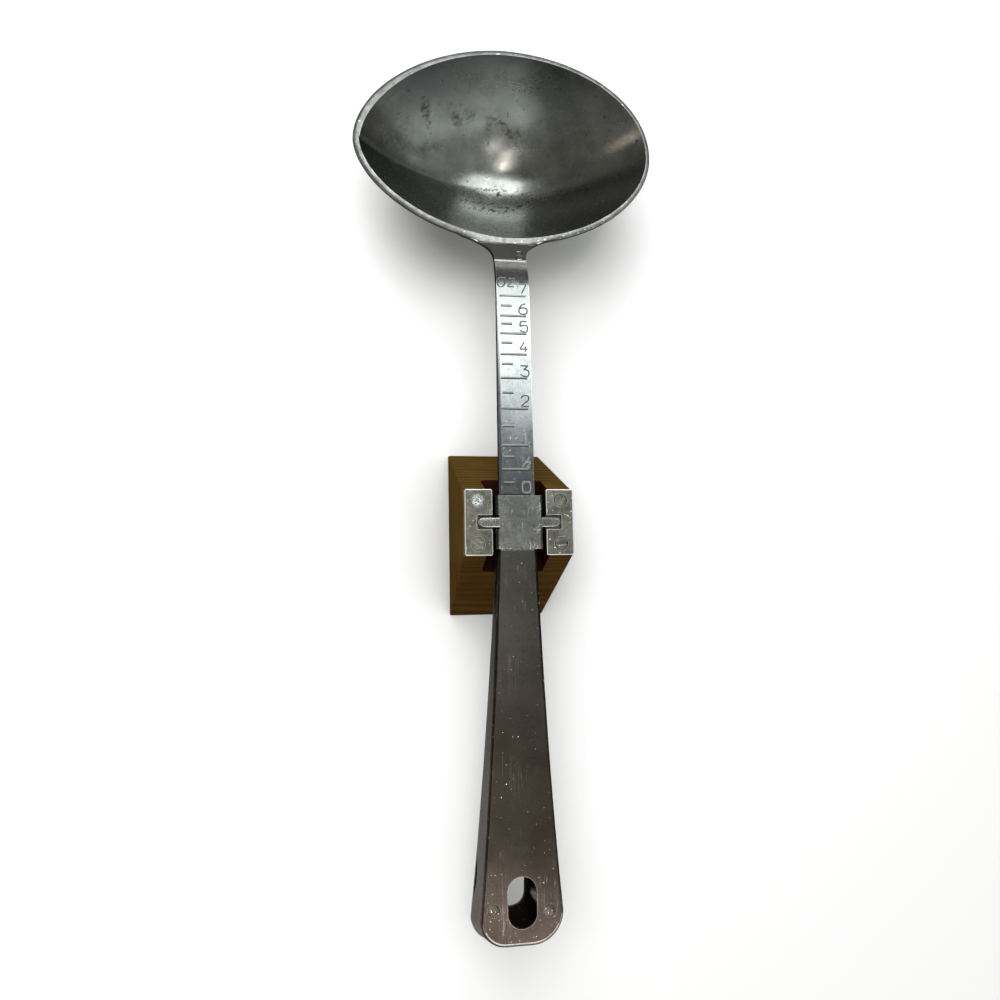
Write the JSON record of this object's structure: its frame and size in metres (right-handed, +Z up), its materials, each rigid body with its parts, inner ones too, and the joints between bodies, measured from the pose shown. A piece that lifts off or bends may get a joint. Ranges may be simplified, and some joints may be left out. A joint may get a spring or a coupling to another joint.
{
  "type": "weighing spoon",
  "caption": "Steelyard kitchen spoon: an oval bowl on a graduated beam slides through a knife-edge sleeve that rocks on a small wooden stand, balanced by a hollow handle.",
  "frame": {"origin": "on the table, in the middle of the stand's base, straight under the rocking edge of the tongues", "axes": "+Y towards the bowl, +X to the right seen from the handle, +Z up"},
  "size_m": [0.1308, 0.3782, 0.065],
  "materials": {
    "varnished_wood": "worn varnish",
    "plate_steel": "worn, dull",
    "bright_screw_steel": "plated, bright",
    "sleeve_steel": "worn plating",
    "spring_steel": "blued",
    "bowl_aluminium": "worn polish",
    "handle_aluminium": "browned satin",
    "rivet_aluminium": "filed flush",
    "weight_iron": "raw casting"
  },
  "bodies": {
    "stand": {"stand_block": "varnished_wood", "bearing_plate_left": "plate_steel", "bearing_plate_right": "plate_steel", "plate_screw_left_bowl_side": "bright_screw_steel", "plate_screw_left_handle_side": "plate_steel", "plate_screw_right_bowl_side": "plate_steel", "plate_screw_right_handle_side": "plate_steel"},
    "slider": {"slider_sleeve": "sleeve_steel", "slider_spring": "spring_steel"},
    "spoon": {"bowl_and_beam": "bowl_aluminium", "handle_top_shell": "handle_aluminium", "handle_bottom_cover": "handle_aluminium", "end_rivet_left": "rivet_aluminium", "end_rivet_right": "rivet_aluminium", "rivet_spacer_left": "rivet_aluminium", "rivet_spacer_right": "rivet_aluminium", "tang_rivet_front": "rivet_aluminium", "tang_rivet_rear": "rivet_aluminium", "balance_weight": "weight_iron"}
  },
  "joints": [
    {"name": "spoon_tilt", "type": "hinge", "parent": "stand", "child": "slider", "pos_m": [0, 0, 0.0639], "axis": [1, 0, 0], "range_deg": [-4.4, 7.7]},
    {"name": "spoon_slide", "type": "slide", "parent": "slider", "child": "spoon", "axis": [0, -1, 0], "range_m": [0, 0.086]}
  ]
}
